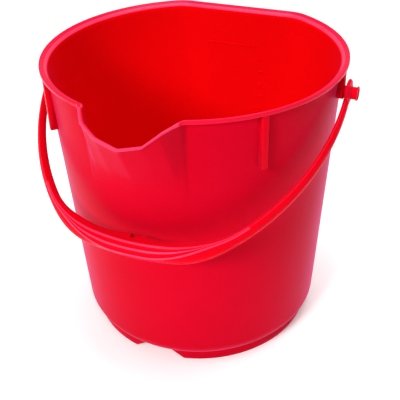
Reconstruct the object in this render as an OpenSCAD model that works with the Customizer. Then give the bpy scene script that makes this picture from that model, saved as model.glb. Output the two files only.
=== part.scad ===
// Wash bucket with a pouring spout, a flat side and a swinging bail.
// Millimetres. Z is up, the origin is on the bucket's axis in the plane of its foot,
// the spout points to -Y, the flat side faces +Y and the bail turns about an axis along X.

/* [Bucket] */
// Outside radius of the rim lip
rim_r = 155; // [150:1:190]
// Height from the foot to the top of the rim
bucket_h = 310; // [250:1:380]
// Outside radius of the wall where it meets the rounded base corner
base_r = 134.6; // [112:0.1:142]
// Height of the bottom end of the straight wall
base_corner_h = 27.5; // [26:0.5:40]
// Thickness of the moulded wall
wall_t = 2.6; // [2:0.1:3.2]
// Thickness of the floor
floor_t = 3; // [2.4:0.1:4]
// How far the flat side is set in from the rim circle
flat_inset = 16.5; // [12:0.5:20]

/* [Rim and ribs] */
// Width of the lip outside the wall
lip_w = 5.1; // [4:0.1:6.2]
// Thickness of the lip
lip_t = 4; // [3:0.1:5]
// Height over which the inside of the rim flares out
flare_h = 4.4; // [3:0.1:5]
// Width of the flat edge left at the top of the rim
rim_edge = 1.4; // [1:0.1:2]
// Length of a stacking rib under the lip
rib_h = 53; // [43:1:66]
// Width of a stacking rib at the top
rib_top_w = 7; // [5.8:0.1:8.6]
// Width of a stacking rib at the bottom
rib_bottom_w = 5.8; // [4.8:0.1:7]

/* [Foot] */
// Height of the foot ring under the floor
foot_h = 12.5; // [10:0.1:15]
// How far the foot ring is set in from the wall's lower end
foot_inset = 8.4; // [7:0.1:10]
// How far the body overhangs the foot ring
foot_step = 0.6; // [0.4:0.1:2]
// Thickness of the foot ring
foot_t = 3; // [2.4:0.1:4]
// Width of the drain gap at the bottom of the foot ring
drain_bottom_w = 58; // [46:1:72]
// Width of the drain gap at the top
drain_top_w = 28; // [22:1:36]

/* [Spout] */
// Width of the spout's mouth on the rim circle
spout_mouth_w = 100; // [84:1:120]
// Width across the two shoulders of the spout
spout_shoulder_w = 74; // [62:1:82]
// Width across the two front corners of the spout
spout_corner_w = 45; // [36:1:54]
// How far the spout's tip stands out from the rim circle, at the height of the tip
spout_reach = 18; // [15:0.5:24]
// How far the shoulders stand out from the rim circle
spout_shoulder_reach = 11; // [9:0.5:13]
// How far the front corners stand out from the rim circle
spout_corner_reach = 14.5; // [13:0.5:17]
// Drop of the pouring edge below the rim at the shoulders
spout_shoulder_drop = 5.5; // [4:0.5:8]
// Drop of the pouring edge at the front corners
spout_corner_drop = 18; // [14:0.5:22]
// Drop of the pouring edge at the tip
spout_tip_drop = 23; // [19:0.5:28]
// Depth over which the spout runs out into the wall
spout_depth = 80; // [66:1:96]

/* [Pivot] */
// Drop of the bail's axis below the rim
pivot_drop = 23; // [19:0.5:28]
// Radius of the pin's shank, on which the bail turns
pin_r = 6; // [5:0.1:7.2]
// Radius of the pin's spigot, pressed into the boss
spigot_r = 4; // [3:0.1:4.8]
// Length of the pin's spigot
spigot_l = 5; // [4:0.1:5.5]
// How far the pin's head stands out round the shank
head_lip = 1; // [0.8:0.1:1.4]
// Thickness of the pin's head
head_t = 1.5; // [1.2:0.1:2.2]
// Play of the bail's eye between the boss and the pin's head
eye_play = 5; // [4:0.1:6]
// Thickness of the web that carries the boss under the lip
web_t = 7; // [5.5:0.1:8.5]

/* [Bail] */
// Outside radius of the eye
eye_r = 13; // [11:0.1:15.6]
// Thickness of the eye along the axis
eye_t = 5.6; // [4.6:0.1:6.8]
// Radial clearance between the eye and the pin
eye_clearance = 0.08; // [0.02:0.01:0.1]
// Space between the spout's tip and the grip as the bail swings past
spout_clearance = 14.5; // [10:0.5:20]
// Height of the grip, measured in the plane of the bail
grip_h = 19; // [15.5:0.5:23]
// Depth of the grip, across the plane of the bail
grip_d = 22; // [18:0.5:27]
// Depth of an arm beside its eye, across the plane of the bail
arm_d = 10; // [8:0.5:12]
// Radius of the grip's long curve
grip_curve_r = 268; // [225:1:320]
// Radius of the curve between grip and arm
shoulder_curve_r = 104; // [86:1:124]
// Length of the straight piece of arm beside its eye, from the pin's axis
arm_straight = 12.3; // [10:0.1:15]
// Angle of the bail from straight down when it leans at the front
rest_angle = 56; // [53:0.5:70]
// Length of the low hump in the middle of the grip's inner edge
hump_l = 52; // [43:1:63]
// Height of the hump
hump_h = 2.8; // [2.3:0.1:3.4]
// Width of the hook notch in the hump
notch_w = 5.2; // [4.3:0.1:6.3]
// Depth of the hook notch
notch_deep = 5; // [4:0.1:6]

/* [Scale inside the flat side] */
// Litres at the lowest mark
scale_bottom = 5; // [5:1:8]
// Litres at the highest mark
scale_top = 15; // [10:1:15]
// Length of the line at the highest mark
top_mark = 61; // [50:1:70]
// Distance of that line's left end from the middle of the flat side
top_mark_offset = 38; // [31:1:44]
// Length of a five-litre mark
long_mark = 12; // [10:1:15]
// Length of a one-litre mark
short_mark = 6; // [5:1:8]
// Distance of the marks' right end from the middle of the flat side
mark_offset = 32; // [26:1:33]
// Width of a mark's line
mark_line = 1; // [0.8:0.1:1.4]
// Height of a mark off the wall
mark_h = 0.6; // [0.4:0.1:0.8]

/* [Hidden] */

moulded_red = [0.86, 0.03, 0.09];
cut = 1;
$fn = 128;

// The body
wall_top_r = rim_r - lip_w;
wall_slope = (wall_top_r - base_r) / (bucket_h - base_corner_h);
flat_y = rim_r - flat_inset;
flat_inner_y = flat_y - lip_w - wall_t;
floor_z = foot_h + floor_t;
foot_r = base_r - foot_inset;
rib_angles = [46, 134, 226, 314];
rib_setback = 0.3;
drain_depth = foot_t * 3;

function wall_r(z) = base_r + wall_slope * (z - base_corner_h);

// The corner between wall and foot is an arc that leaves the wall nearly upright
corner_rise = base_corner_h - foot_h;
corner_run = foot_inset - foot_step;
corner_turn = 2 * atan(corner_run / corner_rise);
corner_arc_r = corner_rise / sin(corner_turn);
corner_steps = 8;

function base_corner(inset, floor_level) = [
    for (i = [corner_steps : -1 : 0])
        let (a = corner_turn * i / corner_steps)
        [
            base_r - inset - (corner_arc_r - inset) * (1 - cos(a)),
            max(base_corner_h - (corner_arc_r - inset) * sin(a), floor_level)
        ]
];

// The spout
spout_low_z = bucket_h - spout_depth;
spout_tip_y = rim_r + spout_reach;
spout_edge_w = 3;
spout_spread = 0.94;
draw_step = 0.1;
low_shoulder_x = spout_shoulder_w / 2 * 1.12;
low_corner_x = spout_corner_w / 2 * 1.05;
spout_back_y = rim_r - 2 * spout_reach;
shoulder_inset = 0.75;
corner_inset = 0.4;
section_h = 0.01;

// The pivots
pivot_z = bucket_h - pivot_drop;
boss_face = rim_r;
head_r = pin_r + head_lip;
boss_r = head_r;
web_drop = 0.5;
inside_x = rim_r - 3 * lip_w + cut;
eye_gap = 1.2;
eye_x = boss_face + eye_gap + eye_t / 2;
head_x = boss_face + eye_gap + eye_t + eye_play;
socket_gap = 0.3;

// The bail's half outline: a grip arc, a shoulder arc and an arm arc, each tangent to the next
bail_reach = spout_tip_y + spout_clearance + grip_h / 2;
grip_turn = 8.5;
arm_out = eye_x - grip_curve_r * sin(grip_turn) - shoulder_curve_r * (1 - sin(grip_turn));
arm_rise = bail_reach - arm_straight - grip_curve_r * (1 - cos(grip_turn))
    - shoulder_curve_r * cos(grip_turn);
shoulder_turn = 90 - 2 * atan(arm_out / arm_rise);
arm_curve_r = shoulder_curve_r + arm_rise / cos(shoulder_turn);
shoulder_x = grip_curve_r * sin(grip_turn) + shoulder_curve_r * (sin(shoulder_turn) - sin(grip_turn));
shoulder_y = bail_reach - grip_curve_r * (1 - cos(grip_turn))
    - shoulder_curve_r * (cos(grip_turn) - cos(shoulder_turn));
arm_end_y = (pin_r + eye_r) / 2 - 1;
grip_arc_l = grip_curve_r * grip_turn * PI / 180;
shoulder_arc_l = shoulder_curve_r * (shoulder_turn - grip_turn) * PI / 180;
arm_arc_l = arm_curve_r * (90 - shoulder_turn) * PI / 180;
half_l = grip_arc_l + shoulder_arc_l + arm_arc_l;
grip_half_l = 50;
taper_l = 60;
arm_share = 0.52;
arm_root_d = 15;
hump_share = 0.7;
hump_curve_r = (pow(hump_l / 2, 2) + hump_h * hump_h) / (2 * hump_h);
hump_y = bail_reach - grip_h / 2 - hump_h;
ring_count = 30;
section_sides = 16;
section_power = 2.5;

// Direction of the half outline at distance s from the middle, in degrees from the X axis
function bail_turn(s) =
    s < grip_arc_l ? s / grip_curve_r * 180 / PI
    : s < grip_arc_l + shoulder_arc_l ? grip_turn + (s - grip_arc_l) / shoulder_curve_r * 180 / PI
    : shoulder_turn + (s - grip_arc_l - shoulder_arc_l) / arm_curve_r * 180 / PI;

// Point of the half outline where it has turned by angle a
function bail_point(a) =
    a < grip_turn ? [grip_curve_r * sin(a), bail_reach - grip_curve_r * (1 - cos(a))]
    : a < shoulder_turn ? [
        grip_curve_r * sin(grip_turn) + shoulder_curve_r * (sin(a) - sin(grip_turn)),
        bail_reach - grip_curve_r * (1 - cos(grip_turn)) - shoulder_curve_r * (cos(grip_turn) - cos(a))
    ]
    : [
        shoulder_x + arm_curve_r * (sin(a) - sin(shoulder_turn)),
        shoulder_y - arm_curve_r * (cos(shoulder_turn) - cos(a))
    ];

function ease(t) = let (u = min(max(t, 0), 1)) u * u * (3 - 2 * u);
function mix(a, b, t) = a + (b - a) * t;

// Half height and half depth of the bail at distance s from the middle
function bail_half_h(s) =
    let (
        past_grip = max(s - grip_half_l - taper_l, 0) / (half_l - grip_half_l - taper_l),
        arm = mix(grip_h * arm_share, eye_t, past_grip)
    )
    mix(grip_h, arm, ease((s - grip_half_l) / taper_l)) / 2;
function bail_half_d(s) =
    let (arm = mix(arm_root_d, arm_d, max(s - grip_half_l - taper_l, 0) / (half_l - grip_half_l - taper_l)))
    mix(grip_d, arm, ease((s - grip_half_l) / taper_l)) / 2;

function signed_power(v, p) = sign(v) * pow(abs(v), p);

// One rounded cross-section, centred on p and square to direction a; side is 1 or -1 along X
function bail_ring(p, a, half_h, half_d, side) = [
    for (i = [0 : section_sides - 1])
        let (
            t = 360 * i / section_sides,
            u = half_h * signed_power(cos(t), 2 / section_power),
            v = half_d * signed_power(sin(t), 2 / section_power)
        )
        [side * (p[0] + u * sin(a)), p[1] + u * cos(a), v]
];

function half_rings(side) = [
    for (i = [1 : ring_count])
        let (s = half_l * i / ring_count, a = bail_turn(s))
        bail_ring(bail_point(a), a, bail_half_h(s), bail_half_d(s), side),
    bail_ring([eye_x, arm_end_y], 90, eye_t / 2, arm_d / 2, side)
];

function reversed(list) = [for (i = [len(list) - 1 : -1 : 0]) list[i]];

function flat_list(lists) = [for (l = lists) each l];

// Height at which the bucket holds this many litres, from the volume of a cone
inner_floor_r = wall_r(floor_z) - wall_t;
function fill_z(litres) =
    floor_z + (pow(pow(inner_floor_r, 3) + 3 * wall_slope * litres * 1e6 / PI, 1 / 3) - inner_floor_r)
    / wall_slope;

// What lies on the round side of an upright plane at y = flat
module round_side(flat) {
    intersection() {
        children();
        translate([-rim_r - cut, -rim_r - cut, -cut])
            cube([2 * (rim_r + cut), rim_r + cut + flat, bucket_h + 4 * cut]);
    }
}

// The round, tapering vessel, shrunk by inset on every side but the top, down to a floor level
module vessel(inset, floor_level, top) {
    round_side(flat_y - lip_w - inset)
        rotate_extrude()
            polygon(concat(
                [[0, floor_level]],
                base_corner(inset, floor_level),
                [[wall_r(top) - inset, top], [0, top]]
            ));
}

module rim_lip() {
    round_side(flat_y)
        translate([0, 0, bucket_h - lip_t])
            cylinder(r = rim_r, h = lip_t);
}

// The space inside the rim, where its inner side leans outwards up to a narrow edge
module rim_flare() {
    low_z = bucket_h - flare_h;
    inner_r = wall_r(low_z) - wall_t;
    rise = flare_h + cut;
    slope = (rim_r - rim_edge - inner_r) / flare_h;
    intersection() {
        translate([0, 0, low_z - cut])
            cylinder(r1 = inner_r - slope * cut, r2 = inner_r + slope * rise, h = rise + cut);
        rotate([90, 0, 90])
            linear_extrude(2 * (rim_r + cut), center = true)
                polygon([
                    [-rim_r - lip_w, low_z - cut],
                    [flat_inner_y - slope * cut, low_z - cut],
                    [flat_inner_y + slope * rise, low_z + rise],
                    [-rim_r - lip_w, low_z + rise]
                ]);
    }
}

// Ribs that keep nested buckets from jamming
module stacking_ribs() {
    top = bucket_h - lip_t + cut;
    bottom = bucket_h - lip_t - rib_h;
    for (a = rib_angles)
        rotate([0, 0, a + 90])
            translate([0, rib_setback - rim_r, 0])
                rotate([-90, 0, 0])
                    mirror([0, 1, 0])
                        linear_extrude(2 * lip_w)
                            polygon([
                                [-rib_top_w / 2, top],
                                [rib_top_w / 2, top],
                                [rib_bottom_w / 2, bottom],
                                [-rib_bottom_w / 2, bottom]
                            ]);
}

// The web and boss under the lip that hold one pivot pin
module pivot_boss() {
    web_bottom = pivot_z - pin_r - web_drop;
    translate([inside_x, -web_t / 2, web_bottom])
        cube([boss_face - inside_x, web_t, bucket_h - lip_t - web_bottom + cut]);
    translate([inside_x, 0, pivot_z])
        rotate([0, 90, 0])
            cylinder(r = boss_r, h = boss_face - inside_x);
}

module pin_socket() {
    translate([boss_face - spigot_l - socket_gap, 0, pivot_z])
        rotate([0, 90, 0])
            cylinder(r = spigot_r, h = spigot_l + socket_gap + cut);
}

// Where a front of the spout would meet the rim's plane, if it stands out by reach at a drop below it,
// to the nearest step that the mould is drawn in
function at_rim(x, reach, drop) =
    let (low_r = wall_r(spout_low_z) - cut, low = sqrt(low_r * low_r - x * x), share = drop / spout_depth)
    round((rim_r + reach - low * share) / (1 - share) / draw_step) * draw_step;

// Half outline of the spout on the rim, from its mouth to its tip, as [x, distance from the axis]
function spout_top(inset) = [
    [spout_mouth_w / 2 - inset, sqrt(rim_r * rim_r - pow(spout_mouth_w / 2, 2)) - inset / 2],
    [
        spout_shoulder_w / 2 - inset * shoulder_inset,
        at_rim(low_shoulder_x, spout_shoulder_reach, spout_shoulder_drop) - inset
    ],
    [
        spout_corner_w / 2 - inset * corner_inset,
        at_rim(low_corner_x, spout_corner_reach, spout_corner_drop) - inset
    ],
    [0, at_rim(0, spout_reach, spout_tip_drop) - inset]
];

// The same outline where the spout has run out into the wall
function spout_low(inset) =
    let (r = wall_r(spout_low_z) - cut - inset)
    [
        for (x = [spout_mouth_w / 2 * spout_spread, low_shoulder_x, low_corner_x, 0])
            let (x_in = max(x - inset, 0))
            [x_in, sqrt(r * r - x_in * x_in)]
    ];

module spout_section(outline, z) {
    back_x = outline[0][0];
    translate([0, 0, z])
        linear_extrude(section_h)
            for (side = [-1, 1])
                polygon(concat(
                    [[0, -spout_back_y], [side * back_x, -spout_back_y]],
                    [for (p = outline) [side * p[0], -p[1]]]
                ));
}

module spout_block(inset, top) {
    hull() {
        spout_section(spout_top(inset), top - section_h);
        spout_section(spout_low(inset), spout_low_z + inset);
    }
}

// Everything above the pouring edge, which falls from the rim to the tip in straight steps
module pouring_notch() {
    front = rim_r + 2 * spout_reach;
    steps = [
        [spout_mouth_w / 2, bucket_h],
        [spout_shoulder_w / 2, bucket_h - spout_shoulder_drop],
        [spout_corner_w / 2, bucket_h - spout_corner_drop],
        [0, bucket_h - spout_tip_drop]
    ];
    top = bucket_h + 2 * cut;
    rotate([90, 0, 0])
        translate([0, 0, spout_back_y])
            linear_extrude(front - spout_back_y)
                polygon(concat(
                    [[-spout_mouth_w / 2, top], [spout_mouth_w / 2, top]],
                    steps,
                    [for (i = [len(steps) - 2 : -1 : 0]) [-steps[i][0], steps[i][1]]]
                ));
}

module foot_ring() {
    difference() {
        cylinder(r = foot_r, h = foot_h + cut);
        translate([0, 0, -cut]) cylinder(r = foot_r - foot_t, h = foot_h + cut);
    }
}

// Gaps in the foot ring, under the spout and under the flat side, that let water out
module drain_gaps() {
    for (side = [-1, 1])
        translate([0, side * (foot_r - foot_t / 2) + drain_depth / 2, 0])
            rotate([90, 0, 0])
                linear_extrude(drain_depth)
                    polygon([
                        [-drain_bottom_w / 2, -cut],
                        [drain_bottom_w / 2, -cut],
                        [drain_bottom_w / 2, 0],
                        [drain_top_w / 2, foot_h],
                        [-drain_top_w / 2, foot_h],
                        [-drain_bottom_w / 2, 0]
                    ]);
}

// Litre marks on the inside of the flat side: a line at the top, and below it a ladder of short marks,
// with a longer one every five litres
module scale_marks() {
    for (litres = [scale_bottom : scale_top])
        let (
            top = litres == scale_top,
            l = top ? top_mark : litres % 5 == 0 ? long_mark : short_mark,
            left = top ? -top_mark_offset : mark_offset - l
        )
        translate([left, flat_inner_y - mark_h, fill_z(litres) - mark_line / 2])
            cube([l, mark_h + cut, mark_line]);
}

module bucket_body() {
    color(moulded_red)
        difference() {
            union() {
                vessel(0, foot_h, bucket_h);
                rim_lip();
                stacking_ribs();
                pivot_boss();
                mirror([1, 0, 0]) pivot_boss();
                spout_block(0, bucket_h);
                foot_ring();
            }
            difference() {
                vessel(wall_t, floor_z, bucket_h + cut);
                scale_marks();
            }
            rim_flare();
            spout_block(spout_edge_w, bucket_h + cut);
            pouring_notch();
            drain_gaps();
            pin_socket();
            mirror([1, 0, 0]) pin_socket();
        }
}

// The bail's bar, lying in the XY plane with its axis on X
module bail_bar() {
    middle = bail_ring([0, bail_reach], 0, grip_h / 2, grip_d / 2, 1);
    rings = concat(reversed(half_rings(-1)), [middle], half_rings(1));
    n = section_sides;
    last = len(rings) - 1;
    sides = [
        for (j = [0 : last - 1], i = [0 : n - 1])
            let (a = j * n + i, b = j * n + (i + 1) % n, c = b + n, d = a + n)
            each [[a, d, c], [a, c, b]]
    ];
    first_cap = [for (i = [0 : n - 1]) i];
    last_cap = [for (i = [n - 1 : -1 : 0]) last * n + i];
    polyhedron(points = flat_list(rings), faces = concat([first_cap], sides, [last_cap]));
}

// The low hump on the grip's inner edge that locates the bail on a hook
module grip_hump() {
    hump_d = grip_d * hump_share;
    intersection() {
        translate([0, hump_y + hump_curve_r, 0])
            cylinder(r = hump_curve_r, h = hump_d, center = true);
        translate([-hump_l / 2, hump_y, -hump_d])
            cube([hump_l, bail_reach - hump_y, 2 * hump_d]);
    }
}

module hook_notch() {
    translate([0, hump_y + notch_deep - notch_w / 2, 0])
        cylinder(d = notch_w, h = grip_d + 2 * cut, center = true);
    translate([-notch_w / 2, hump_y - cut, -grip_d / 2 - cut])
        cube([notch_w, notch_deep - notch_w / 2 + cut, grip_d + 2 * cut]);
}

module bail_handle() {
    color(moulded_red)
        translate([0, 0, pivot_z])
            rotate([270 - rest_angle, 0, 0])
                difference() {
                    union() {
                        bail_bar();
                        grip_hump();
                        for (side = [-1, 1])
                            translate([side * eye_x, 0, 0])
                                rotate([0, 90, 0])
                                    cylinder(r = eye_r, h = eye_t, center = true);
                    }
                    for (side = [-1, 1])
                        translate([side * eye_x, 0, 0])
                            rotate([0, 90, 0])
                                cylinder(r = pin_r + eye_clearance, h = 2 * eye_t, center = true);
                    hook_notch();
                }
}

// A headed pin; its spigot is pressed into the boss and the eye turns on its shank
module pivot_pin() {
    translate([0, 0, pivot_z])
        rotate([0, 90, 0]) {
            translate([0, 0, boss_face - spigot_l]) cylinder(r = spigot_r, h = spigot_l + cut);
            translate([0, 0, boss_face]) cylinder(r = pin_r, h = head_x - boss_face + head_t);
            translate([0, 0, head_x]) cylinder(r = head_r, h = head_t);
        }
}

module right_pivot_pin() {
    color(moulded_red) pivot_pin();
}

module left_pivot_pin() {
    color(moulded_red) mirror([1, 0, 0]) pivot_pin();
}

bucket_body();
bail_handle();
left_pivot_pin();
right_pivot_pin();
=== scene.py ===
# %% [markdown]
# # A red wash bucket, built step by step
#
# This lesson builds the looks of a moulded wash bucket round a fixed engineering frame. The frame
# says where each moving body is and how big it is. Each cell below makes one piece or one finish
# and prints what it made.
#
# The bucket is one injection moulding with a pouring spout, a flat side and a foot ring. A
# moulded bail with a ridged grip swings on two headed pins. All of it is red polypropylene, satin
# on the broad sides and smoother along its ridges and edges, which also carry painted highlights
# and a painted sheen in a pinker red.

# %% Opening the frame
import math

import bpy
import numpy as np
from mathutils import Matrix, Vector


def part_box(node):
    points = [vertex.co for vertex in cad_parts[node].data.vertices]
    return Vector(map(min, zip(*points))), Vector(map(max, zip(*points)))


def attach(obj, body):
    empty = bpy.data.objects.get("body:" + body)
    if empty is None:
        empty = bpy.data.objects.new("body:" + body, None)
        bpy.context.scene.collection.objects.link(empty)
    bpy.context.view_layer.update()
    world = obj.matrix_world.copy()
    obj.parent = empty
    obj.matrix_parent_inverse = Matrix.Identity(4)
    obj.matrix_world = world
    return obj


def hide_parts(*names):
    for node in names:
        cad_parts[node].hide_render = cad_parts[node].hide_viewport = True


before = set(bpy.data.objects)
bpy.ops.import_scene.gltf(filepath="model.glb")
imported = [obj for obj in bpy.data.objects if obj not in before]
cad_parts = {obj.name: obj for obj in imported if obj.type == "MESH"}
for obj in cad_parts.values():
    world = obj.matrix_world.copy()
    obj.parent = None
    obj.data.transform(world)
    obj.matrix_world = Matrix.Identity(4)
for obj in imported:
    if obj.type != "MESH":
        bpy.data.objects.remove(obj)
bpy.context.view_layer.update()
MM = 0.001

# %% [markdown]
# ## Sizes that come from the frame
#
# On the real bucket the rim, the pins and the flat side decide where everything else goes. They
# could be typed in, but reading them from the frame keeps the looks and the engineering parts
# together if a size changes.

# %% Reading the sizes
_, body_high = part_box("bucket_body")
pin_low, pin_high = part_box("right_pivot_pin")
_, bail_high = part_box("bail_handle")
rim_r = body_high.x / MM
rim_z = body_high.z / MM
flat_y = body_high.y / MM
pivot_z = (pin_low.z + pin_high.z) / 2 / MM
pin_end_x = pin_high.x / MM
print(f"rim radius {rim_r:.1f} mm, height {rim_z:.1f} mm")
print(f"flat side at {flat_y:.1f} mm, pivots at {pivot_z:.1f} mm")


# %% [markdown]
# ## Turning points into a mesh
#
# Most pieces here are skins over rows of points, as a loft is: each row is a closed loop, and
# neighbouring rows are joined by four-sided faces. A modifier could spin a profile, but only rows
# of points can follow a spout, a flat side and gaps in the foot at the same time. One helper
# joins the rows, and one makes the object.

# %% Helpers for meshes
def add_piece(name, points, faces):
    """A smooth-shaded object from points in millimetres."""
    mesh = bpy.data.meshes.new(name)
    mesh.from_pydata([tuple(np.asarray(p) * MM) for p in points], [], faces)
    mesh.validate()
    mesh.update()
    mesh.shade_smooth()
    piece = bpy.data.objects.new(name, mesh)
    bpy.context.scene.collection.objects.link(piece)
    return piece


def skin(rows, first=0, flip=False):
    """Faces that join closed rows of equal length, one after the other."""
    count = len(rows[0])
    faces = []
    for j in range(len(rows) - 1):
        a, b = first + j * count, first + (j + 1) * count
        for i in range(count):
            k = (i + 1) % count
            faces.append((a + i, b + i, b + k, a + k) if flip else (a + i, a + k, b + k, b + i))
    return faces


def mix(a, b, share):
    """From a at share 0 to b at share 1."""
    return a + (b - a) * share


def ease(value):
    """From 0 to 1 with a soft start and a soft end."""
    value = np.clip(value, 0, 1)
    return value * value * (3 - 2 * value)


def report(piece):
    """Print how much mesh a piece has."""
    print(f"{piece.name}: {len(piece.data.vertices)} points, {len(piece.data.polygons)} faces")


print("helpers: add_piece, skin, mix, ease, report")


# %% [markdown]
# ## The shape of the wall
#
# The wall is a cone that narrows towards the foot. At the back a flat plane cuts it, so that the
# bucket can hang or stand against a wall. At the front the spout pushes it out. Each of the three
# is a distance from the axis for a given direction. Where two meet, a smooth minimum or maximum
# rounds the corner, as the mould does.

# %% Wall as a distance from the axis
lip_w = 5.1
wall_t = 2.6
base_r = 134.6
base_corner_z = 27.5
wall_slope = (rim_r - lip_w - base_r) / (rim_z - base_corner_z)
flat_round = 5.0


def wall_r(z):
    """Outer radius of the plain wall at height z."""
    return base_r + wall_slope * (z - base_corner_z)


def smooth_min(a, b, k):
    """The smaller of two distances, rounded where they differ by less than k."""
    h = np.clip(1 - np.abs(a - b) / k, 0, 1)
    return np.minimum(a, b) - h * h * k / 4


def smooth_max(a, b, k):
    """The larger of two distances, rounded where they differ by less than k."""
    h = np.clip(1 - np.abs(a - b) / k, 0, 1)
    return np.maximum(a, b) + h * h * k / 4


print(f"the wall leans out by {math.degrees(math.atan(wall_slope)):.1f} degrees")


# %% [markdown]
# ## The pouring spout
#
# The spout is folded, not rounded: on each side three flat panels run from the rim down to the
# wall, where they fade out. A sculpted bulge would lose those crisp panels. So each corner of the
# spout is a line from a point at the rim to a point low on the wall, and the panels are the
# straight sides between the corners.

# %% Corners and sides of the spout
spout_depth = 80.0
spout_sight = math.radians(32)
spout_sunk = 2.5
mouth_half = 50.0
spout_fade = 60
least_facing = 0.05

low_r = wall_r(rim_z - spout_depth) - spout_sunk
mouth = (mouth_half, math.sqrt(rim_r ** 2 - mouth_half ** 2))
spout_low = [(x, math.sqrt(low_r ** 2 - x * x)) for x in (48.0, 41.4, 23.6, 0.0)]


def front_at_rim(x, reach, drop, low):
    """A front that stands out by reach at a drop below the rim, followed up to the rim's height."""
    share = drop / spout_depth
    return x, (rim_r + reach - low[1] * share) / (1 - share)


spout_top = [
    mouth,
    front_at_rim(37.0, 11.0, 5.5, spout_low[1]),
    front_at_rim(22.5, 14.5, 18.0, spout_low[2]),
    front_at_rim(0.0, 18.0, 23.0, spout_low[3]),
]


def spout_sides(z, inset):
    """The straight sides of half the spout at height z, as direction and distance."""
    share = np.clip((rim_z - z) / spout_depth, 0, 1.25)
    corners = [(mix(a[0], b[0], share), mix(a[1], b[1], share)) for a, b in zip(spout_top, spout_low)]
    sides = []
    for (ax, ay), (bx, by) in zip(corners[:-1], corners[1:]):
        length = np.hypot(bx - ax, by - ay)
        nx, ny = (by - ay) / length, (ax - bx) / length
        sides.append((nx, ny, nx * ax + ny * ay - inset))
    sides.append((1.0, 0.0, corners[0][0] - inset))
    return sides


def spout_r(turn, z, inset):
    """Distance from the axis to the spout's side, its corners softened by nearby directions."""
    total = 0
    offsets = np.radians([-0.6, -0.3, 0, 0.3, 0.6])
    for offset in offsets:
        t = np.abs(turn + offset)
        reach = [
            d / np.maximum(nx * np.sin(t) + ny * np.cos(t), least_facing)
            for nx, ny, d in spout_sides(z, inset)
        ]
        total = total + np.minimum.reduce(reach)
    runs_out = spout_fade * np.maximum((rim_z - z) / spout_depth - 1, 0)
    return np.where(np.abs(turn) < spout_sight, total / len(offsets) - runs_out, 0)


print(f"the spout reaches {-low_r + spout_top[-1][1]:.0f} mm further out at the rim than at its foot")


# %% [markdown]
# ## Wall, flat side and spout together
#
# The three shapes could be three meshes joined by booleans, but booleans leave slivers where
# walls this thin meet. Here the smallest and largest distances are taken instead, so one row of
# points follows all three.

# %% One distance for all three
flat_facing = 0.3
past_flat = 1e3


def body_r(turn, z, circle, flat, spout_inset, k):
    """Distance from the axis to the body in direction turn, measured from the spout's middle."""
    to_flat = np.cos(turn + math.pi)
    flat_r = np.where(to_flat > flat_facing, flat / np.maximum(to_flat, flat_facing), past_flat)
    r = smooth_min(circle + 0 * turn, flat_r, flat_round)
    return smooth_max(r, spout_r(turn, z, spout_inset), k)


print("the flat side cuts", round(rim_r - flat_y, 1), "mm off the rim's circle")



# %% [markdown]
# ## Where the columns of points stand
#
# Points stand in columns round the axis. Equal spacing would be simple, but the spout's corners
# and the gaps in the foot ring need close columns, and the plain sides do not. So the spacing
# changes with direction.

# %% Columns
def turns():
    """Directions of the columns, given in degrees from the spout's middle."""
    front = np.arange(-24, 24.01, 0.6)
    side = np.arange(25.5, 147.9, 1.5)
    back = np.arange(148, 212, 1.0)
    return np.radians(np.concatenate([front, side, back, 360 - side[::-1]]))


column = turns()
signed_turn = (column + math.pi) % (2 * math.pi) - math.pi
print(f"{len(column)} columns round the bucket")


def loop(r, z):
    """One closed row of points: direction 0 is the spout, which faces -Y."""
    r = r + 0 * column
    return np.stack([r * np.sin(column), -r * np.cos(column), z + 0 * column], axis=1)


# %% [markdown]
# ## The pouring edge
#
# The rim is level all round, except at the spout, where it falls in three straight steps to the
# tip. A table of widths and drops gives its height for each column. The edge is a thin bead
# there, and a wide lip elsewhere.

# %% Height of the rim and size of its lip
drop_x = [0, 22.5, 37, 50, 60]
drop_z = [23, 18, 5.5, 0, 0]
drop_level = 12
lip_blend = 3.5
plain_lip_h, spout_lip_h = 4.0, 2.4
spout_from, spout_over = 15, 5


def edge_z():
    """Height of the edge in each column, its corners softened over a millimetre each way."""
    r = body_r(signed_turn, rim_z - drop_level + 0 * column, wall_r(rim_z) + 0 * column, flat_y, 0, 3)
    x = np.abs(r * np.sin(signed_turn))
    near = np.abs(signed_turn) < spout_sight
    level = sum(np.interp(x + d, drop_x, drop_z) for d in (-1, -0.5, 0, 0.5, 1)) / 5
    return rim_z - np.where(near, level, 0)


top_z = edge_z()
in_spout = 1 - ease((np.abs(np.degrees(signed_turn)) - spout_from) / spout_over)
lip_h = mix(plain_lip_h, spout_lip_h, in_spout)
print(f"the pouring edge falls {rim_z - top_z.min():.1f} mm below the rim")

# %% [markdown]
# ## The foot ring and its drain gaps
#
# The bucket stands on a thin ring. A gap in it, wider at the bottom than at the top, lets water
# out from under the floor. The gap could be cut with a boolean, but in this skin it is enough to
# lift the bottom of the ring where the gap is, so its slanted ends come out exactly and the faces
# stay clean.

# %% Height of the foot ring
foot_h = 12.5
foot_r = 126.2
foot_t = 3.0
gap_bottom, gap_top = 29.0, 14.0
gap_lift = 2.2
ring_fades_at = 1.0

x_on_ring = np.abs(foot_r * np.sin(signed_turn))
ring_bottom = foot_h * np.clip((gap_bottom - x_on_ring) / (gap_bottom - gap_top), 0, 1)
ring_h = foot_h - ring_bottom
no_ring = np.clip(1 - ring_h / ring_fades_at, 0, 1)
foot_inside = foot_r - foot_t
# radius, and how deep it lies as a share of the ring's height
foot_profile = [
    (foot_inside - 1.5, 0.0), (foot_inside - 0.4, 0.04), (foot_inside, 0.13), (foot_inside, 0.6),
    (foot_inside, 0.93), (foot_inside + 0.25, 0.98), (foot_inside + 0.8, 1.0), (foot_r - 0.8, 1.0),
    (foot_r - 0.25, 0.98), (foot_r, 0.93), (foot_r, 0.6), (foot_r, 0.08), (foot_r + 0.1, 0.01),
    (foot_r + 0.4, 0.0),
]


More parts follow.
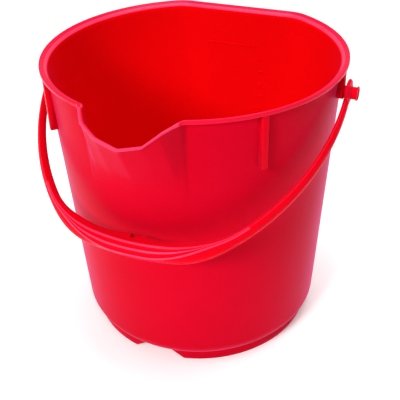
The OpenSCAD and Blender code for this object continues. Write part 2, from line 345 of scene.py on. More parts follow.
def foot_rows():
    """Rows down the inside of the ring, across its bottom and up its outside."""
    rows = []
    last = len(foot_profile) - 1
    for n, (r, deep) in enumerate(foot_profile):
        spread = mix(foot_profile[0][0], foot_profile[-1][0], n / last)
        z = foot_h - deep * ring_h + gap_lift * no_ring * n / last
        rows.append(loop(mix(r, spread, no_ring), z))
    return rows


print(f"the foot ring is {foot_h} mm high, and each gap is {2 * gap_bottom:.0f} mm wide at the bottom")


# %% [markdown]
# ## One skin for the whole moulding
#
# The rows start under the floor, go down and up the foot ring, round the base corner, up the
# outside, over the lip and down the inside to the floor. That is one closed skin with real wall
# thickness, as the moulding has. Two helpers give a row of the wall and a row of the base corner,
# for the outside and for the inside.

# %% Rows of the wall and of the base corner
corner_rise = base_corner_z - foot_h
foot_step = 0.6
corner_run = base_r - foot_r - foot_step
corner_turn = 2 * math.atan(corner_run / corner_rise)
corner_r = corner_rise / math.sin(corner_turn)
floor_t = 3
floor_z = foot_h + floor_t
flat_wall = flat_y - lip_w
below_spout = 6
spout_low_z = rim_z - spout_depth - below_spout
spout_t = 3.0
low_blend = 6


def wall_row(z, inset):
    """A row of the wall at height z, set in by the wall's thickness for the inside."""
    depth = np.clip((rim_z - z) / spout_depth, 0, 1)
    spout_inset = inset * spout_t / wall_t
    blend = mix(lip_blend, low_blend, depth)
    return body_r(signed_turn, z, wall_r(z) - inset, flat_wall - inset, spout_inset, blend)


def base_row(angle, inset):
    """Distance and height of a row of the rounded base corner."""
    r = base_r - inset - (corner_r - inset) * (1 - math.cos(angle))
    z = max(base_corner_z - (corner_r - inset) * math.sin(angle), floor_z if inset else foot_h)
    flat = (flat_wall - inset) / np.maximum(-np.cos(column), flat_facing)
    return smooth_min(r + 0 * column, flat, flat_round), z


print(f"the base corner turns {math.degrees(corner_turn):.0f} degrees on a radius of {corner_r:.1f} mm")


# %% [markdown]
# ## Up the outside
#
# Rows lie closer together where the shape turns: at the base corner, and from the foot of the
# spout up to the lip. Equal steps would be simpler, but they would either blur the spout or waste
# points on the plain wall.

# %% Rows of the outside
under_floor_r = (1.0, 30, 70, 100, 115)
corner_rows, plain_rows, spout_rows = 9, 14, 26
below_lip = 1.2


def outside_rows():
    """From under the floor, round the foot ring and up to the lip."""
    rows = [loop(r, foot_h) for r in under_floor_r]
    rows += foot_rows()
    for angle in np.linspace(corner_turn, 0, corner_rows)[:-1]:
        r, z = base_row(angle, 0)
        rows.append(loop(r, np.maximum(z, foot_h + gap_lift * no_ring)))
    for z in np.linspace(base_corner_z, spout_low_z, plain_rows):
        rows.append(loop(wall_row(z + 0 * column, 0), z))
    under_lip = top_z - lip_h - below_lip
    for share in np.linspace(0, 1, spout_rows)[1:]:
        z = mix(spout_low_z, under_lip, share)
        rows.append(loop(wall_row(z, 0), z))
    return rows


print(f"{len(outside_rows())} rows from under the floor to the lip")


# %% [markdown]
# ## Over the lip
#
# The lip is a flat ledge with a soft bead on its outer edge and a slope that leads inwards. A
# bevel on a ledge would round it evenly all the way, but the real lip shrinks to a thin bead at
# the spout. So its section is a table of rows, and its sizes are mixed from the plain rim's and
# the spout's.

# %% Rows of the lip
mouth_from, mouth_to = 16, 23
mouth_passes = 4
bead_w, bead_within, bead_over = 0.7, 11.5, 2.5
least_ledge, lip_drop, lip_out = 0.15, 1, 0.15
plain_edge, spout_edge = 1.3, 0.8
plain_flare, spout_flare = 4.4, 0.9
flare = mix(plain_flare, spout_flare, in_spout)


def eased_at_mouth(r):
    """The same row with the corners of the spout's mouth rounded."""
    turned = np.abs(np.degrees(signed_turn))
    near = (turned > mouth_from) & (turned < mouth_to)
    for _ in range(mouth_passes):
        r = np.where(near, (np.roll(r, 1) + 2 * r + np.roll(r, -1)) / 4, r)
    return r


def lip_rows():
    """Out under the ledge, up its edge, and in down the slope."""
    wall = wall_row(top_z - lip_h, 0)
    inside = eased_at_mouth(wall_row(top_z, wall_t))
    bead = mix(0.0, bead_w, 1 - ease((np.abs(np.degrees(signed_turn)) - bead_within) / bead_over))
    lip = body_r(signed_turn, top_z - lip_drop, rim_r + 0 * column, flat_y, -lip_out - bead, lip_blend)
    ledge = np.maximum(lip - wall, least_ledge)
    lip = wall + ledge
    soft = np.minimum(ledge * 0.4, 0.6)
    bottom = top_z - lip_h
    edge = mix(plain_edge, spout_edge, in_spout)
    run = np.maximum(lip - edge * 1.6 - inside, 0.5)
    inside_low = eased_at_mouth(wall_row(top_z - flare, wall_t))
    rows = [
        (wall + soft * 0.4, bottom - 0.35), (wall + soft, bottom), (lip - soft, bottom),
        (lip - soft * 0.25, bottom + 0.18), (lip, bottom + 0.6), (lip, top_z - edge),
        (lip - edge * 0.12, top_z - edge * 0.5), (lip - edge * 0.5, top_z - edge * 0.12),
        (lip - edge, top_z),
        (inside + run, top_z - 0.04 * flare), (inside + run * 0.85, top_z - 0.15 * flare),
        (inside + run * 0.5, top_z - 0.46 * flare), (inside + run * 0.2, top_z - 0.74 * flare),
        (inside + run * 0.08, top_z - 0.86 * flare), (inside_low, top_z - flare * 1.08),
    ]
    return [loop(r, z) for r, z in rows]


print(f"{len(lip_rows())} rows over the lip")


# %% [markdown]
# ## Down the inside
#
# The inside follows the outside at the wall's thickness. A solidify modifier would do that in one
# step, but it would thicken the lip and the foot ring too. The same helpers with an inset keep
# both as they are.

# %% Rows of the inside
start_under_lip = 1.3
inner_corner_rows = 7
floor_steps = (3, 12)
floor_rows_r = (90, 60, 30, 1.0)


def inside_rows():
    """From under the lip to the middle of the floor."""
    rows = []
    for share in np.linspace(0, 1, spout_rows)[1:]:
        z = mix(top_z - flare * start_under_lip, spout_low_z, share)
        rows.append(loop(wall_row(z, wall_t), z))
    for z in np.linspace(spout_low_z, base_corner_z, plain_rows)[1:]:
        rows.append(loop(wall_row(z + 0 * column, wall_t), z))
    reach = math.asin((base_corner_z - floor_z) / (corner_r - wall_t))
    for angle in np.linspace(0, reach, inner_corner_rows)[1:]:
        rows.append(loop(*base_row(angle, wall_t)))
    last_r = base_r - wall_t - (corner_r - wall_t) * (1 - math.cos(reach))
    rows += [loop(last_r - d, floor_z) for d in floor_steps]
    rows += [loop(r, floor_z) for r in floor_rows_r]
    return rows


print(f"{len(inside_rows())} rows from the lip to the floor's middle")


# %% [markdown]
# ## Closing the vessel
#
# The three groups of rows make one skin. It is closed with a fan of triangles under the floor and
# another on it. Where the lip and the inside begin is kept for later, because they get finishes
# of their own.

# %% Making the vessel
under_lip_rows = 3


def make_vessel():
    """One closed skin from the rows, with a fan at each end."""
    rows = outside_rows() + lip_rows() + inside_rows()
    points = np.concatenate(rows)
    faces = skin(rows)
    count = len(column)
    under = len(points)
    points = np.concatenate([points, [[0, 0, foot_h], [0, 0, floor_z]]])
    last = under - count
    for i in range(count):
        k = (i + 1) % count
        faces.append((under + 1, last + i, last + k))
    faces = [(under, (i + 1) % count, i) for i in range(count)] + faces
    return add_piece("vessel", points, faces)


vessel = make_vessel()
first_lip_face = len(column) * (len(outside_rows()) + under_lip_rows)
first_inner_face = len(column) * (len(outside_rows()) + len(lip_rows()))
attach(vessel, "bucket")
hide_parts("bucket_body")
report(vessel)

# %% [markdown]
# ## A rounded block for ribs and webs
#
# The stacking ribs and the webs are plates with soft edges. A cube with a bevel would do, but a
# plate with a drawn outline and rounded edges fits any outline. The outline is drawn in a plane
# and given a thickness, and its edges are rounded by rows that step in as they rise.

# %% Plates with rounded edges
least_bisector = 0.3
edge_turns = np.radians([90, 60, 30, 0])


def inset_outline(outline, distance):
    """The outline moved inwards by a distance, corner by corner."""
    moved = []
    count = len(outline)
    for i in range(count):
        p, q, r = (np.array(outline[(i + s) % count], float) for s in (-1, 0, 1))
        a, b = (q - p) / np.linalg.norm(q - p), (r - q) / np.linalg.norm(r - q)
        na, nb = np.array([-a[1], a[0]]), np.array([-b[1], b[0]])
        bisector = na + nb
        moved.append(q + bisector * distance / max(float(bisector @ na), least_bisector))
    return moved


def plate(outline, low, high, edge):
    """Rows of a plate from height low to high, over an anticlockwise outline in the plane."""
    rows = [[(x, y, low) for x, y in outline]]
    for a in edge_turns:
        inset, below = edge * (1 - math.sin(a)), edge * (1 - math.cos(a))
        rows.append([(x, y, high - below) for x, y in inset_outline(outline, inset)])
    return rows


def closed_plate(rows):
    """Points and faces of a plate with both ends closed."""
    count = len(rows[0])
    points = [p for row in rows for p in row]
    faces = skin(rows)
    faces.append(tuple(reversed(range(count))))
    faces.append(tuple(range((len(rows) - 1) * count, len(rows) * count)))
    return points, faces


def joined(parts):
    """Points and faces of several parts as one."""
    points, faces = [], []
    for part_points, part_faces in parts:
        start = len(points)
        points += [tuple(p) for p in part_points]
        faces += [tuple(start + i for i in face) for face in part_faces]
    return points, faces


print(f"a plate's edge turns in {len(edge_turns)} rows")


# %% [markdown]
# ## Stacking ribs
#
# Four ribs under the lip keep nested buckets from jamming. Each is a narrow plate that stands out
# from the wall as far as the lip does, a little narrower at its foot. They are drawn once and
# turned into place.

# %% Ribs
rib_h = 53.0
rib_top_w, rib_bottom_w = 7.0, 5.8
rib_turns = (46, 134, 226, 314)
rib_behind_lip = 0.4
rib_face_r = rim_r - rib_behind_lip
rib_edge = 0.9
under_rim, rib_taper_gap = 3.0, 4.0
in_wall = 1.3


def rib_part(turn):
    """One rib, from inside the wall out to its face, turned into place."""
    top, bottom = rim_z - under_rim, rim_z - rib_taper_gap - rib_h
    low_half, top_half = rib_bottom_w / 2, rib_top_w / 2
    outline = [(-low_half, bottom), (low_half, bottom), (top_half, top), (-top_half, top)]
    points, faces = closed_plate(plate(outline, 0, rib_face_r, rib_edge))
    s, c = math.sin(turn), math.cos(turn)
    placed = []
    for x, z, r in points:
        r = r or wall_r(z) - in_wall
        placed.append((r * s + x * c, -r * c + x * s, z))
    return placed, faces


ribs = add_piece("stacking_ribs", *joined([rib_part(math.radians(t)) for t in rib_turns]))
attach(ribs, "bucket")
report(ribs)

# %% [markdown]
# ## Webs and bosses
#
# A web under the lip carries the boss that each pin is pressed into. The boss is round, and the
# web runs from its sides up to the lip. One outline holds both, an arc below and two straight
# sides above, and it is given the depth from the wall to the boss's face.

# %% Webs
web_half = 3.5
boss_r = 7.0
boss_face = rim_r
web_edge = 0.7
arc_points = 33


def web_part(side):
    """One web with its boss, on the side +1 or -1."""
    half = math.degrees(math.asin(web_half / boss_r))
    arc = np.radians(np.linspace(90 + half, 450 - half, arc_points))
    outline = [(boss_r * math.cos(a), pivot_z + boss_r * math.sin(a)) for a in arc]
    outline += [(web_half, rim_z - under_rim), (-web_half, rim_z - under_rim)]
    points, faces = closed_plate(plate(outline, 0, boss_face, web_edge))
    placed = [(side * (x or wall_r(z) - in_wall), y, z) for y, z, x in points]
    if side < 0:
        faces = [tuple(reversed(f)) for f in faces]
    return placed, faces


webs = add_piece("pivot_webs", *joined([web_part(1), web_part(-1)]))
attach(webs, "bucket")
report(webs)

# %% [markdown]
# ## Litre marks
#
# Raised lines inside the flat side show how full the bucket is. Their heights follow from the
# volume of a cone, so the mark for each litre is worked out, not guessed. Each mark is a low
# rounded bar on the wall.

# %% Marks
top_line = (-38.0, 23.0)
marks_right = 32.0
inner_floor_r = wall_r(floor_z) - wall_t
inner_flat_y = flat_wall - wall_t
first_litre, last_litre = 5, 15
long_mark, short_mark = 12.0, 6.0
mark_line, mark_h, mark_edge = 1.0, 0.6, 0.35
CUBIC_MM_PER_LITRE = 1e6


def fill_z(litres):
    """Height at which the bucket holds this many litres."""
    cube = inner_floor_r ** 3 + 3 * wall_slope * litres * CUBIC_MM_PER_LITRE / math.pi
    return floor_z + (cube ** (1 / 3) - inner_floor_r) / wall_slope


def mark_part(left, right, low, high):
    """One raised bar, half sunk into the flat side."""
    outline = [(left, low), (right, low), (right, high), (left, high)]
    points, faces = closed_plate(plate(outline, -mark_h, mark_h, mark_edge))
    return [(x, inner_flat_y - d, z) for x, z, d in points], faces


def litre_marks():
    """A long line at the top, and below it a ladder of short marks."""
    parts = []
    for litres in range(first_litre, last_litre + 1):
        z = fill_z(litres)
        length = long_mark if litres % 5 == 0 else short_mark
        left, right = top_line if litres == last_litre else (marks_right - length, marks_right)
        parts.append(mark_part(left, right, z - mark_line / 2, z + mark_line / 2))
    return parts


marks = add_piece("litre_marks", *joined(litre_marks()))
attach(marks, "bucket")
report(marks)
print(f"the {last_litre} litre mark is {rim_z - fill_z(last_litre):.1f} mm below the rim")


# %% [markdown]
# ## Pivot pins
#
# Each pin is a turned shape: a spigot inside the boss, a shank on which the bail's eye turns, and
# a thin head that keeps the eye on. Spinning a profile is the natural way. The profile has soft
# edges and a shallow dish in the end face.

# %% Pins
pin_r, head_r, spigot_r = 6.0, 7.0, 4.0
head_t = 1.5
head_x = pin_end_x - head_t
around_pin = 48
# radius, and distance from the bucket's middle
pin_profile = [
    (spigot_r - 0.4, boss_face - 5), (spigot_r, boss_face - 4.6), (spigot_r, boss_face - 0.1),
    (pin_r - 0.3, boss_face + 0.02), (pin_r, boss_face + 0.3), (pin_r, head_x - 0.5),
    (pin_r + 0.15, head_x - 0.12), (pin_r + 0.5, head_x), (head_r - 0.3, head_x),
    (head_r, head_x + 0.3), (head_r, pin_end_x - 0.45),
    (head_r - 0.13, pin_end_x - 0.13), (head_r - 0.45, pin_end_x), (head_r - 1.1, pin_end_x),
    (head_r - 1.4, pin_end_x - 0.15), (head_r - 1.7, pin_end_x - 0.7), (head_r - 2.3, pin_end_x - 0.9),
    (head_r - 5.0, pin_end_x - 0.9),
]


def make_pin(name, side):
    """A turned pin on the side +1 or -1."""
    around = np.linspace(0, 2 * math.pi, around_pin + 1)[:-1]
    rows = []
    for r, x in pin_profile:
        rows.append([(side * x, r * math.cos(a), pivot_z + r * math.sin(a)) for a in around])
    points = [p for row in rows for p in row]
    faces = skin(rows, flip=side < 0)
    inner, outer = tuple(range(around_pin)), tuple(range(len(points) - around_pin, len(points)))
    faces += [inner[::-1], outer] if side > 0 else [inner, outer[::-1]]
    pin = add_piece(name, points, faces)
    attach(pin, "bucket")
    return pin


right_pin = make_pin("right_pin", 1)
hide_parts("right_pivot_pin")
left_pin = make_pin("left_pin", -1)
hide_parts("left_pivot_pin")
report(right_pin)

# %% [markdown]
# ## The line of the bail
#
# The bail's bar follows three arcs on each side: a long flat one through the grip, a tighter one
# at each shoulder and a long one down to the eye. They join without a kink. The line lies in a
# plane that turns about the pins, so it is drawn flat first and laid into place last.

# %% Arcs of the bail
grip_turn = math.radians(8.5)
grip_curve_r, shoulder_curve_r = 268.0, 104.0
arm_straight = 12.3
eye_t = 5.6
eye_r = 13.0
eye_x = bail_high.x / MM - eye_t / 2
rest_angle = math.radians(56)
spout_out, finger_gap, grip_half = 18, 14.5, 9.5
bail_reach = rim_r + spout_out + finger_gap + grip_half
arm_out = eye_x - grip_curve_r * math.sin(grip_turn) - shoulder_curve_r * (1 - math.sin(grip_turn))
arm_rise = (bail_reach - arm_straight - grip_curve_r * (1 - math.cos(grip_turn))
            - shoulder_curve_r * math.cos(grip_turn))
shoulder_turn = math.pi / 2 - 2 * math.atan(arm_out / arm_rise)
arm_curve_r = shoulder_curve_r + arm_rise / math.cos(shoulder_turn)
grip_l = grip_curve_r * grip_turn
shoulder_l = shoulder_curve_r * (shoulder_turn - grip_turn)
half_l = grip_l + shoulder_l + arm_curve_r * (math.pi / 2 - shoulder_turn)


def bail_line(s):
    """Place in the bail's plane and direction, at distance s along one half from the middle."""
    if s < grip_l:
        a = s / grip_curve_r
        return grip_curve_r * math.sin(a), bail_reach - grip_curve_r * (1 - math.cos(a)), a
    x0 = grip_curve_r * math.sin(grip_turn)
    y0 = bail_reach - grip_curve_r * (1 - math.cos(grip_turn))
    if s < grip_l + shoulder_l:
        a = grip_turn + (s - grip_l) / shoulder_curve_r
        r = shoulder_curve_r
        x = x0 + r * (math.sin(a) - math.sin(grip_turn))
        return x, y0 - r * (math.cos(grip_turn) - math.cos(a)), a
    x0 += shoulder_curve_r * (math.sin(shoulder_turn) - math.sin(grip_turn))
    y0 -= shoulder_curve_r * (math.cos(grip_turn) - math.cos(shoulder_turn))
    a = min(shoulder_turn + (s - grip_l - shoulder_l) / arm_curve_r, math.pi / 2)
    r = arm_curve_r
    x = x0 + r * (math.sin(a) - math.sin(shoulder_turn))
    return x, y0 - r * (math.cos(shoulder_turn) - math.cos(a)), a


print(f"half the bail is {half_l:.0f} mm long and reaches {bail_reach:.0f} mm from the pins")

# %% [markdown]
# ## The ridged section of the bail
#
# The grip is not round. Three ridges run along it, and between them lie flat facets. Towards the
# arms the ridges draw together into one. So the section is a polygon whose corners move along the
# bar, and each corner is rounded a little by cutting it twice. The rounded ridges catch the light,
# and a pink red later paints a highlight on them as well.

# %% Section corners for the grip and for an arm
# each corner as a share of half the height and half the depth
GRIP_SECTION = [
    (-1.0, 0.36), (-0.58, 0.64), (-0.12, 0.99), (0.19, 0.86), (0.48, 0.91), (0.73, 0.56), (1.0, 0.40),
    (0.96, 0.12), (0.96, -0.2), (0.88, -0.66), (0.5, -0.97), (-0.5, -0.97), (-0.9, -0.62), (-1.0, -0.1),
]
ARM_SECTION = [
    (-1.0, 0.30), (-0.55, 0.72), (-0.12, 0.97), (-0.06, 0.985), (0.0, 1.0), (0.06, 0.985), (0.12, 0.97),
    (0.62, 0.66), (1.0, 0.20), (1.0, -0.5), (0.6, -0.97), (-0.6, -0.97), (-1.0, -0.5), (-1.0, 0.0),
]
RIDGE_CORNERS = (2, 4, 6)
FIRST_CUT, SECOND_CUT = 0.17, 0.25
grip_h, grip_d = 19.0, 22.0
shoulder_h, shoulder_d, eye_d = 9.9, 15.0, 10.0
taper_from, thin_from, thin_over = 110, 50, 60
ridges_from, ridges_over = 18, 68


def cut_corners(points, share):
    """Each corner replaced by two, a share of the way along its sides."""
    cut = []
    for p, q in zip(points, np.roll(points, -1, axis=0)):
        cut += [mix(p, q, share), mix(q, p, share)]
    return np.array(cut)


def bail_size(s):
    """Half height in the bail's plane and half depth across it."""
    far = max(s - taper_from, 0) / (half_l - taper_from)
    arm_h, arm_d = mix(shoulder_h, eye_t, far), mix(shoulder_d, eye_d, far)
    share = ease((s - thin_from) / thin_over)
    return mix(grip_h, arm_h, share) / 2, mix(grip_d, arm_d, share) / 2


def bail_section(s):
    """The bar's section at distance s from the middle, with its corners softened."""
    half_h, half_d = bail_size(s)
    to_arm = ease((s - ridges_from) / ridges_over)
    corners = mix(np.array(GRIP_SECTION), np.array(ARM_SECTION), to_arm)
    corners = corners * [half_h, half_d]
    return cut_corners(cut_corners(corners, FIRST_CUT), SECOND_CUT)


print(f"{len(bail_section(0))} points round the bar")


# %% [markdown]
# ## Hump and hook notch
#
# In the middle of the grip's inner edge stands a low hump with a notch, so that the bail stays in
# place on a hook. The rows of the bar are pushed out for the hump and held back for the notch,
# with close rows at the notch so that its sides are steep.

# %% Hump and notch
hump_half, hump_h = 26.0, 2.8
notch_half, notch_deep = 2.6, 5.0
hump_runs_out, hump_blend = 6, 0.8
inner_from, inner_over = 0.45, 0.5


def inner_edge(x, half_h):
    """How far the inner edge lies from the bar's line, and how deep the notch cuts to."""
    hump_r = (hump_half ** 2 + hump_h ** 2) / (2 * hump_h)
    rise = 0.0
    if abs(x) < hump_half + hump_runs_out:
        rise = math.sqrt(max(hump_r ** 2 - x * x, 0)) - (hump_r - hump_h)
        rise = float(smooth_max(np.array(rise), np.array(0.0), hump_blend))
    notch_floor = None
    if abs(x) < notch_half:
        notch_floor = half_h + hump_h - (notch_deep - notch_half) - math.sqrt(notch_half ** 2 - x * x)
    return rise, notch_floor


def shaped_section(s, side):
    """The bar's section with the hump pushed out and the notch held back."""
    section = bail_section(s)
    half_h, _ = bail_size(s)
    rise, notch_floor = inner_edge(side * s, half_h)
    weight = ease((-section[:, 0] / half_h - inner_from) / inner_over)
    section[:, 0] -= rise * weight
    if notch_floor is not None:
        section[:, 0] = np.maximum(section[:, 0], -notch_floor)
    return section


at_notch = [0, 0.6, 1.2, 1.8, 2.2, 2.45, 2.58, 2.62, 2.9, 3.6]
on_grip = list(np.arange(5, 40, 2.5))
on_arm = list(np.linspace(40, half_l, 64))
stations = at_notch + on_grip + on_arm
print(f"{len(stations)} stations along each half, {len(at_notch)} of them at the notch")

# %% [markdown]
# ## Lofting the bail
#
# The sections are set square to the bail's line, from one eye over the grip to the other. A curve
# object with a bevel could not change its section like this, so the loft is made row by row.

# %% The bar of the bail
tip_inside = 4
tip_narrows = 0.92


def in_place(x, y, out):
    """A point of the bail's plane, laid to where the bail rests. Out points away from the bucket."""
    s, c = math.sin(rest_angle), math.cos(rest_angle)
    return x, -y * s - out * c, pivot_z - y * c + out * s


def bail_row(s, side):
    """The section at distance s, square to the bail's line."""
    x, y, a = bail_line(s)
    section = shaped_section(s, side)
    return [in_place(side * (x + u * math.sin(a)), y + u * math.cos(a), w) for u, w in section]


def bar_part():
    """The bar from one eye to the other, its tips sunk into the eyes."""
    rows = [bail_row(s, -1) for s in reversed(stations[1:])] + [bail_row(s, 1) for s in stations]
    end = shaped_section(half_l, 1)
    tip_y = arm_straight - tip_inside
    rows.append([in_place(eye_x + u, tip_y, w * tip_narrows) for u, w in end])
    rows.insert(0, [in_place(-eye_x - u, tip_y, w * tip_narrows) for u, w in end])
    count = len(rows[0])
    points = [p for row in rows for p in row]
    faces = skin(rows, flip=True)
    faces.append(tuple(range(count)))
    faces.append(tuple(reversed(range(len(points) - count, len(points)))))
    return points, faces


print(f"the bar thins from {grip_h} mm at the grip to {eye_t} mm at the eye")


# %% [markdown]
# ## Eyes, and the whole bail
#
# An eye is a ring that turns on its pin. It could be cut out of the bar's end with a boolean, but
# a spun ring keeps the bore true. Its section is thinner at the outer edge, which is rounded, and
# eased at the bore. Bar and eyes are one moulding, so they are joined into one piece.

# %% The bail
pin_clearance = 0.08
eye_edge, bore_edge, bore_mid = 2.0, 0.4, 0.12
thinner_rim = 1.1
around_eye = 64
rim_turns = np.radians([90, 70, 45, 20, 0, -20, -45, -70, -90])


def eye_part(side):
    """One eye on the side +1 or -1, spun from its section."""
    bore, half_t = pin_r + pin_clearance, eye_t / 2
    profile = [
        (bore, -half_t + bore_edge), (bore, half_t - bore_edge), (bore + bore_mid, half_t - bore_mid),
        (bore + bore_edge, half_t),
    ]
    for a in rim_turns:
        r = eye_r - eye_edge + eye_edge * math.cos(a)
        profile.append((r, (half_t - thinner_rim) * math.sin(a)))
    profile += [(bore + bore_edge, -half_t), (bore + bore_mid, -half_t + bore_mid)]
    around = np.linspace(0, 2 * math.pi, around_eye + 1)[:-1]
    rows = [
        [(side * (eye_x + x), r * math.cos(a), pivot_z + r * math.sin(a)) for a in around]
        for r, x in profile
    ]
    rows.append(rows[0])
    points = [p for row in rows[:-1] for p in row]
    faces = [tuple(i % len(points) for i in face) for face in skin(rows, flip=side > 0)]
    return points, faces


bail = add_piece("bail", *joined([bar_part(), eye_part(1), eye_part(-1)]))
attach(bail, "bail")
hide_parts("bail_handle")
report(bail)

# %% [markdown]
# ## Moulded red polypropylene
#
# The plastic is dyed right through, a saturated red with a satin gloss. Its surface is not
# perfectly even: the mould leaves a fine grain, the melt cools with slow waves, and the dye
# varies a touch. Noise textures drive small changes of colour, roughness and bump. The real shine
# at grazing angles is pinkish, not white. A clear coat would make it white, so a tinted
# reflection and a tinted sheen give it instead.

# %% Plastic material
PLASTIC_IOR = 1.45
SHINE_TINT = (1.0, 0.22, 0.5, 1.0)
SHEEN_TINT = (0.60, 0.08, 0.34, 1.0)
SHEEN_ROUGHNESS = 0.30
SMOOTHER, ROUGHER = 0.035, 0.045


def add_node(tree, kind, **inputs):
    """A node with some of its inputs set."""
    node = tree.nodes.new(kind)
    for name, value in inputs.items():
        node.inputs[name.replace("_", " ")].default_value = value
    return node


def red_plastic(name, deep, bright, roughness, shine, sheen):
    """A red between deep and bright, as rough, shiny and pink at its edges as given."""
    material = bpy.data.materials.new(name)
    material.use_nodes = True
    tree = material.node_tree
    shader = tree.nodes["Principled BSDF"]
    place = tree.nodes.new("ShaderNodeTexCoord")
    cloud = add_node(tree, "ShaderNodeTexNoise", Scale=9.0, Detail=3.0, Roughness=0.55)
    tint = tree.nodes.new("ShaderNodeValToRGB")
    for stop, (position, colour) in zip(tint.color_ramp.elements, ((0.3, deep), (0.7, bright))):
        stop.position, stop.color = position, colour
    haze = add_node(tree, "ShaderNodeTexNoise", Scale=60.0, Detail=4.0, Roughness=0.6)
    low, high = roughness - SMOOTHER, roughness + ROUGHER
    gloss = add_node(tree, "ShaderNodeMapRange", To_Min=low, To_Max=high)
    skin_grain = add_node(tree, "ShaderNodeTexNoise", Scale=900.0, Detail=2.0, Roughness=0.5)
    wave = add_node(tree, "ShaderNodeTexNoise", Scale=26.0, Detail=1.0, Roughness=0.4)
    wave_bump = add_node(tree, "ShaderNodeBump", Strength=0.25, Distance=0.0009)
    grain_bump = add_node(tree, "ShaderNodeBump", Strength=0.3, Distance=0.00006)
    for texture in (cloud, haze, skin_grain, wave):
        tree.links.new(place.outputs["Object"], texture.inputs["Vector"])
    tree.links.new(cloud.outputs["Fac"], tint.inputs["Fac"])
    tree.links.new(tint.outputs["Color"], shader.inputs["Base Color"])
    tree.links.new(haze.outputs["Fac"], gloss.inputs["Value"])
    tree.links.new(gloss.outputs["Result"], shader.inputs["Roughness"])
    tree.links.new(wave.outputs["Fac"], wave_bump.inputs["Height"])
    tree.links.new(skin_grain.outputs["Fac"], grain_bump.inputs["Height"])
    tree.links.new(wave_bump.outputs["Normal"], grain_bump.inputs["Normal"])
    tree.links.new(grain_bump.outputs["Normal"], shader.inputs["Normal"])
    shader.inputs["IOR"].default_value = PLASTIC_IOR
    shader.inputs["Specular IOR Level"].default_value = shine
    shader.inputs["Specular Tint"].default_value = SHINE_TINT
    shader.inputs["Sheen Weight"].default_value = sheen
    shader.inputs["Sheen Roughness"].default_value = SHEEN_ROUGHNESS
    shader.inputs["Sheen Tint"].default_value = SHEEN_TINT
    return material


print("plastic: colour, gloss, slow waves and grain from four noises")


# %% [markdown]
# ## Six finishes of one plastic
#
# The whole bucket is one red, but a mould is not polished alike everywhere. The outside is satin,
# the inside plainer, and ridges and edges smoother, so they catch the light. Their colours also
# carry painted light: the outside is a darker copy of the red as painted shade and the inside a
# brighter one as painted light, the lip is painted pinker as a painted sheen, and ridges and edges
# are painted pink as painted highlights. One material could mix these by masks, but six small
# materials are easier to read and to change.

# %% The six finishes
# name, deep red, bright red, roughness, shine, sheen
# The outside gets a darker copy of the red: painted shade.
shaded_outside_finish = red_plastic(
    "moulded_red",
    (0.51, 0.0006, 0.011, 1), (0.57, 0.0008, 0.014, 1), 0.36, 0.02, 0.9,
)
# The inside, litre marks too, gets a brighter copy of the red: painted light.
lit_inside_finish = red_plastic(
    "lit_inside_red",
    (0.72, 0.0008, 0.002, 1), (0.78, 0.0010, 0.003, 1), 0.40, 0.03, 0.06,
)
# The lip gets a pinker, lighter copy of the red: a painted sheen, on top of the real sheen.
painted_sheen_finish = red_plastic(
    "painted_sheen_edge_red",
    (0.66, 0.0040, 0.026, 1), (0.72, 0.0055, 0.032, 1), 0.26, 0.12, 0.6,
)
# A pink copy of the red for ridges and edge strips: a painted highlight.
highlight_finish = red_plastic(
    "painted_highlight_red",
    (0.80, 0.028, 0.085, 1), (0.86, 0.040, 0.110, 1), 0.22, 0.25, 0.3,
)
bail_finish = red_plastic(
    "bail_red",
    (0.66, 0.0008, 0.008, 1), (0.72, 0.0010, 0.011, 1), 0.26, 0.02, 0.3,
)
fitting_finish = red_plastic(
    "fitting_red",
    (0.60, 0.0008, 0.008, 1), (0.66, 0.0010, 0.011, 1), 0.30, 0.04, 0.05,
)
print("finishes:", shaded_outside_finish.name, lit_inside_finish.name, painted_sheen_finish.name)
print("and:", highlight_finish.name, bail_finish.name, fitting_finish.name)

# %% [markdown]
# ## Finishes on the vessel and its fittings
#
# The vessel is one skin, so its finishes are told apart by row: outside, lip, inside. Painting a
# mask would need an unwrapped surface, but the rows are known exactly. Two strips get the pink red
# of a painted highlight: the edge of the spout and the inner edge of the lip.

# %% Finishing the vessel
# Slot 3 holds the pink red of a painted highlight, for the spout's edge and the lip's inner edge.
HIGHLIGHT = 3
highlight_rows = 3
for finish in (shaded_outside_finish, painted_sheen_finish, lit_inside_finish, highlight_finish):
    vessel.data.materials.append(finish)
last_lip_face = first_inner_face - highlight_rows * len(column)
for face in vessel.data.polygons:
    face.material_index = (face.index >= first_lip_face) + (face.index >= first_inner_face)
    if first_lip_face <= face.index < first_inner_face:
        on_spout = in_spout[face.index % len(column)] > 0.5
        if on_spout != (face.index >= last_lip_face):
            face.material_index = HIGHLIGHT
for piece in (ribs, webs, right_pin, left_pin):
    piece.data.materials.append(fitting_finish)
marks.data.materials.append(lit_inside_finish)
highlighted = sum(face.material_index == HIGHLIGHT for face in vessel.data.polygons)
print(f"{highlighted} faces of the vessel are polished")

# %% [markdown]
# ## Painted highlights on the ridges of the bail
#
# The three ridges of the grip, and the middle one where it goes on along the arms, get the smoother
# pink red of a painted highlight. A pointiness mask would also catch the notch and the eyes. The
# strips beside each ridge are known by their place round the bar, so their faces are picked by number.

# %% Finishing the bail
ridges_end = 120
bail.data.materials.append(bail_finish)
# The bail's ridge faces get the pink red of a painted highlight.
bail.data.materials.append(highlight_finish)
around_bar = len(bail_section(0))
ridge_columns = [4 * corner + side for corner in RIDGE_CORNERS for side in (-3, -2, -1)]
middle_ridge = ridge_columns[3:6]
for face in bail.data.polygons:
    on_bar = face.index < 2 * len(stations) * around_bar
    from_middle = min(abs(face.index // around_bar - len(stations) + 1), len(stations) - 1)
    columns = ridge_columns if stations[from_middle] < ridges_end else middle_ridge
    face.material_index = int(on_bar and face.index % around_bar in columns)
print(f"{sum(face.material_index for face in bail.data.polygons)} faces of the bail are polished")

# %% [markdown]
# ## The floor
#
# The bucket stands on plain pale paper. White paint would do, but under soft light it turns grey
# towards the edges, so the paper also glows a little, as a lit studio floor seems to.

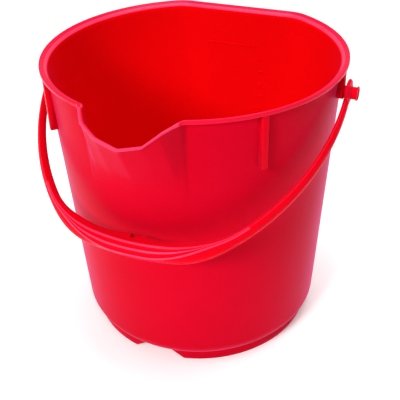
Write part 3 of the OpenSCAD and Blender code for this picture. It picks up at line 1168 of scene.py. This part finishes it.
# %% Floor
floor_mesh = bpy.data.meshes.new("floor")
reach = 6.0
corners = [(-reach, -reach, 0), (reach, -reach, 0), (reach, reach, 0), (-reach, reach, 0)]
floor_mesh.from_pydata(corners, [], [(0, 1, 2, 3)])
floor = bpy.data.objects.new("floor", floor_mesh)
bpy.context.scene.collection.objects.link(floor)
paper_white = (0.93, 0.93, 0.935, 1)
paper_glow = 0.22
paper = bpy.data.materials.new("pale_paper")
paper.use_nodes = True
paper_shader = paper.node_tree.nodes["Principled BSDF"]
paper_shader.inputs["Base Color"].default_value = paper_white
paper_shader.inputs["Roughness"].default_value = 0.9
paper_shader.inputs["Specular IOR Level"].default_value = 0.1
paper_shader.inputs["Emission Color"].default_value = (1, 1, 1, 1)
paper_shader.inputs["Emission Strength"].default_value = paper_glow
floor_mesh.materials.append(paper)
print(f"floor {2 * reach:.0f} m wide, in {paper.name}")


# %% [markdown]
# ## Studio light
#
# Soft light from large panels shows the plastic's own colour. A wide panel overhead lights the
# inside and the lip, one in front lights the spout and the grip, and a faint one on the left
# draws a line along the bail. A single lamp would be simpler, but its shadow would be hard and
# its reflection small.

# %% Lights
def panel(name, place, aim, size, power):
    """A rectangular lamp at a place, turned towards its aim."""
    light = bpy.data.lights.new(name, "AREA")
    light.shape = "RECTANGLE"
    light.size, light.size_y = size
    light.energy = power
    lamp = bpy.data.objects.new(name, light)
    bpy.context.scene.collection.objects.link(lamp)
    lamp.location = place
    lamp.rotation_euler = (Vector(aim) - Vector(place)).to_track_quat("-Z", "Y").to_euler()
    return lamp


panels = [
    panel("overhead", (0.1, 0.15, 1.9), (0, 0, 0.2), (1.2, 1.1), 32),
    panel("front_fill", (-0.4, -1.9, 1.4), (0, 0, 0.2), (0.6, 0.5), 38),
    panel("left_panel", (-1.9, -0.9, 1.0), (0, 0, 0.15), (1.2, 1.4), 3),
]

sky_white = (0.97, 0.975, 1.0, 1)
sky_strength = 0.36
world = bpy.data.worlds.new("studio")
world.use_nodes = True
background = world.node_tree.nodes["Background"]
background.inputs["Color"].default_value = sky_white
background.inputs["Strength"].default_value = sky_strength
bpy.context.scene.world = world
bpy.context.scene.view_settings.view_transform = "Standard"
print("panels:", *(f"{lamp.name} {lamp.data.energy:.0f} W" for lamp in panels))

# %% [markdown]
# ## Camera
#
# The camera looks down from the front, to the right of the spout, so that the spout, the inside
# and the whole bail show at once. A camera can be aimed by a constraint, but three fixed
# directions say exactly how it is turned, its slight roll too.

# %% Camera
camera_place = (0.2717, -0.6279, 0.5873)
camera_data = bpy.data.cameras.new("camera")
camera_data.lens = 64.5
camera_data.sensor_width = 36
camera_data.clip_start = 0.01
camera = bpy.data.objects.new("camera", camera_data)
bpy.context.scene.collection.objects.link(camera)
back = Vector((0.3280, -0.7618, 0.5586)).normalized()
right = Vector((0.9250, 0.3790, -0.0263)).normalized()
up = back.cross(right).normalized()
right = up.cross(back)
directions = Matrix((right, up, back)).transposed()
camera.matrix_world = Matrix.Translation(camera_place) @ directions.to_4x4()
bpy.context.scene.camera = camera
print(f"camera {Vector(camera_place).length:.2f} m from the bucket's foot")
